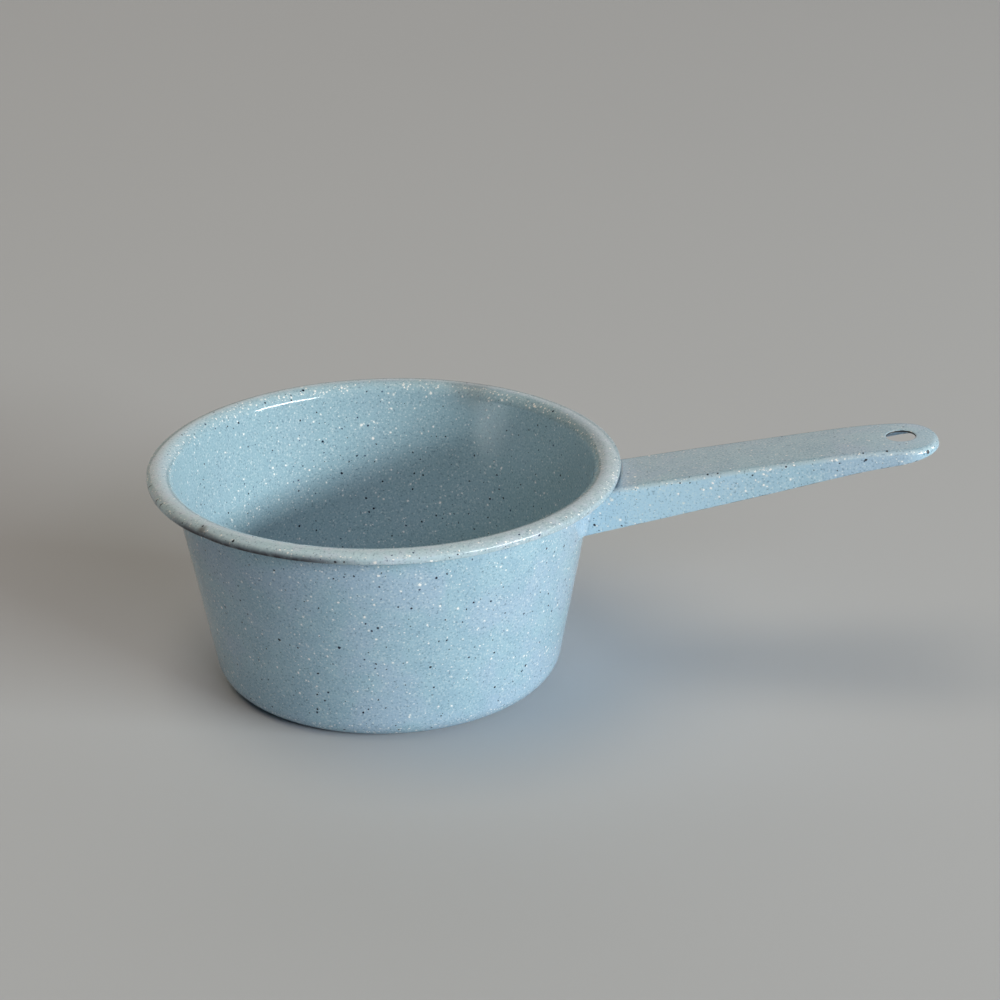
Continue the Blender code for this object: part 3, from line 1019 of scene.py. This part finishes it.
def speckled(recipe, colour):
    """The colour with grain and specks, and the specks' relief."""
    colour = recipe.blend(recipe.pattern("pale_grain"), colour, opaque(PALE_SPECK))
    colour = recipe.blend(recipe.pattern("dark_grain"), colour, opaque(NAVY_SPECK))
    ragged = recipe.jostled(RAGGED_SIZE, RAGGED_REACH)
    bends = on_bends(recipe)
    thinned = recipe.opposite(recipe.product(on_level(recipe), LEVEL_LOSS))
    crowding = recipe.calc("MAXIMUM", recipe.pattern("crowding"), bends)
    crowding = recipe.product(crowding, thinned)
    gathering = recipe.product(recipe.pattern("gathering"), bends)
    white_layers = [(layer, crowding) for layer in WHITE_LAYERS] + [(BEND_LAYER, gathering)]
    relief = 0.0
    for layer, density in white_layers:
        mask, halo, tone = recipe.specks(ragged, layer, density)
        whiteness = 1.0 if layer == BEND_LAYER else recipe.mask("pure_white", tone)
        white = recipe.blend(whiteness, opaque(PALE_SPECK), opaque(WHITE_SPECK))
        colour = recipe.blend(halo, colour, opaque(PALE_SPECK))
        colour = recipe.blend(mask, colour, white)
        relief = recipe.calc("MAXIMUM", mask, relief)
    for layer in DARK_LAYERS:
        mask, _, tone = recipe.specks(ragged, layer, thinned)
        dark = recipe.blend(recipe.mask("navy", tone), opaque(DARK_SPECK), opaque(NAVY_SPECK))
        colour = recipe.blend(mask, colour, dark)
        relief = recipe.calc("MAXIMUM", mask, relief)
    return colour, relief


def stained(recipe, colour):
    for azimuth, radius, height, reach, strength in STAINS:
        centre = (direction(azimuth, 0.0) * radius + Vector((0.0, 0.0, height))) / 1000
        size = reach / 1000
        ragged = recipe.jostled(size * STAIN_RAGGED_SIZE, size * STAIN_RAGGED_REACH)
        away = recipe.vector("DISTANCE", ragged, tuple(centre))
        stain = recipe.spread(away, 0.0, size, strength, 0.0)
        colour = recipe.blend(stain, colour, opaque(STAIN))
    return colour


def enamel():
    """Pale blue vitreous enamel with white and dark specks, over a dark ground coat."""
    recipe = Recipe("speckled_enamel_coat")
    colour, relief = speckled(recipe, cover_coat(recipe))
    colour = stained(recipe, colour)
    chips = chip_mask(recipe)
    # Chips and worn edges bare the dark ground coat; on the near left of the lip this dark is also
    # painted shade.
    bare = recipe.calc("MAXIMUM", chips, worn_and_shaded_edges(recipe))
    bare = recipe.calc("MAXIMUM", bare, base_wear(recipe))
    colour = recipe.blend(bare, colour, opaque(GROUND_COAT_AND_SHADE))
    recipe.feed(recipe.shader.inputs["Base Color"], colour)

    roughness = recipe.calc("MULTIPLY_ADD", bare, BARE_ROUGHNESS, recipe.pattern("roughness"))
    recipe.feed(recipe.shader.inputs["Roughness"], roughness)
    recipe.shader.inputs["IOR"].default_value = IOR
    recipe.shader.inputs["Metallic"].default_value = 0.0

    peel = recipe.cloud(recipe.place, ORANGE_PEEL_SIZE, 1.0).outputs[0]
    height = recipe.calc("MULTIPLY_ADD", relief, SPECK_RELIEF, recipe.product(peel, ORANGE_PEEL))
    height = recipe.calc("MULTIPLY_ADD", chips, -CHIP_DEPTH, height)
    bump = recipe.add("ShaderNodeBump")
    bump.inputs["Strength"].default_value = 1.0
    bump.inputs["Distance"].default_value = 1.0
    recipe.feed(bump.inputs["Height"], height)
    recipe.feed(recipe.shader.inputs["Normal"], bump.outputs[0])
    return recipe.material


def studio_floor():
    recipe = Recipe("pale_floor")
    shade = recipe.cloud(recipe.place, FLOOR_CLOUDS).outputs[0]
    colour = recipe.blend(shade, opaque(FLOOR_LIGHT), opaque(FLOOR_DARK))
    recipe.feed(recipe.shader.inputs["Base Color"], colour)
    recipe.shader.inputs["Roughness"].default_value = FLOOR_ROUGHNESS
    return recipe.material


# Stage, light and camera

FLOOR_SIZE = 40.0
FLOOR_CLOUDS = 0.6  # size of its faint shading
FLOOR_ROUGHNESS = 0.85
FLOOR_LIGHT = (0.50, 0.54, 0.58)
FLOOR_DARK = (0.48, 0.52, 0.56)
WORLD_COLOUR = (0.93, 0.96, 1.0)
WORLD_STRENGTH = 0.03

AIM = Vector((0.0457, 0.0112, 0.0687))
CAMERA_TURN = math.radians(4)  # the camera looks this far to the left of +Y
CAMERA_ELEVATION = math.radians(23.19)
CAMERA_ROLL = math.radians(-0.69)
CAMERA_DISTANCE = 1.060
LENS = 93.6
SENSOR = 36.0
CLIP_START = 0.05
CLIP_END = 60.0

# Softboxes: azimuth and elevation in degrees, distance, width, height, watts, colour, and
# whether the glossy enamel mirrors them.  The key is a low strip in front of the handle: its
# shadow falls across the bowl's floor, and the lips mirror it as thin streaks.
SOFTBOXES = {
    "key": (-28, 16, 4.5, 3.0, 0.42, 202.5, (0.96, 1.0, 0.97), True),
    "front_right": (-60, 30, 4.5, 2.0, 1.0, 34.4, (1.0, 0.9, 0.95), False),
    "back": (90, 25, 5.5, 6.5, 3.0, 40.0, (1.0, 0.92, 0.92), True),
    "back_low": (110, 12, 6.0, 6.0, 2.0, 62.5, (1.0, 0.95, 0.92), False),
    "top_left": (195, 72, 5.5, 4.0, 4.0, 121.9, (1.0, 0.82, 0.61), False),
}


def softbox(name, azimuth, elevation, distance, width, height, power, colour, mirrored):
    lamp = bpy.data.lights.new(name, "AREA")
    lamp.shape = "RECTANGLE"
    lamp.size = width
    lamp.size_y = height
    lamp.energy = power
    lamp.color = colour
    light = bpy.data.objects.new(name, lamp)
    towards = direction(azimuth, elevation)
    light.location = AIM + towards * distance
    light.rotation_euler = towards.to_track_quat("Z", "Y").to_euler()
    light.visible_camera = False
    light.visible_glossy = mirrored
    bpy.context.scene.collection.objects.link(light)


def make_world():
    world = bpy.data.worlds.new("soft_studio")
    world.use_nodes = True
    background = world.node_tree.nodes["Background"]
    background.inputs["Color"].default_value = opaque(WORLD_COLOUR)
    background.inputs["Strength"].default_value = WORLD_STRENGTH
    bpy.context.scene.world = world


def make_floor():
    mesh = bpy.data.meshes.new("floor")
    half = FLOOR_SIZE / 2
    corners = [(-half, -half, 0), (half, -half, 0), (half, half, 0), (-half, half, 0)]
    mesh.from_pydata(corners, [], [(0, 1, 2, 3)])
    mesh.materials.append(studio_floor())
    floor = bpy.data.objects.new("floor", mesh)
    bpy.context.scene.collection.objects.link(floor)


def make_camera():
    lens = bpy.data.cameras.new("camera")
    lens.lens = LENS
    lens.sensor_width = SENSOR
    lens.clip_start = CLIP_START
    lens.clip_end = CLIP_END
    camera = bpy.data.objects.new("camera", lens)
    bpy.context.scene.collection.objects.link(camera)
    turn = Matrix.Rotation(CAMERA_TURN, 4, "Z")
    tilt = Matrix.Rotation(math.pi / 2 - CAMERA_ELEVATION, 4, "X")
    roll = Matrix.Rotation(CAMERA_ROLL, 4, "Z")
    aimed = turn @ tilt @ roll
    back = aimed.to_3x3() @ Vector((0, 0, 1))
    camera.matrix_world = Matrix.Translation(AIM + back * CAMERA_DISTANCE) @ aimed
    bpy.context.scene.camera = camera


def make_pan():
    coat = enamel()
    pieces = {"bowl": bowl_shell(), "handle": handle_shell(), "handle_weld": weld_fillet()}
    for node, piece in pieces.items():
        piece.data.materials.append(coat)
        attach(piece, "root")
        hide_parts(node)


make_pan()
make_world()
make_floor()
make_camera()
for name, settings in SOFTBOXES.items():
    softbox(name, *settings)
# Colours show as they are, without a film look, so the enamel's colour is its own
bpy.context.scene.view_settings.view_transform = "Standard"
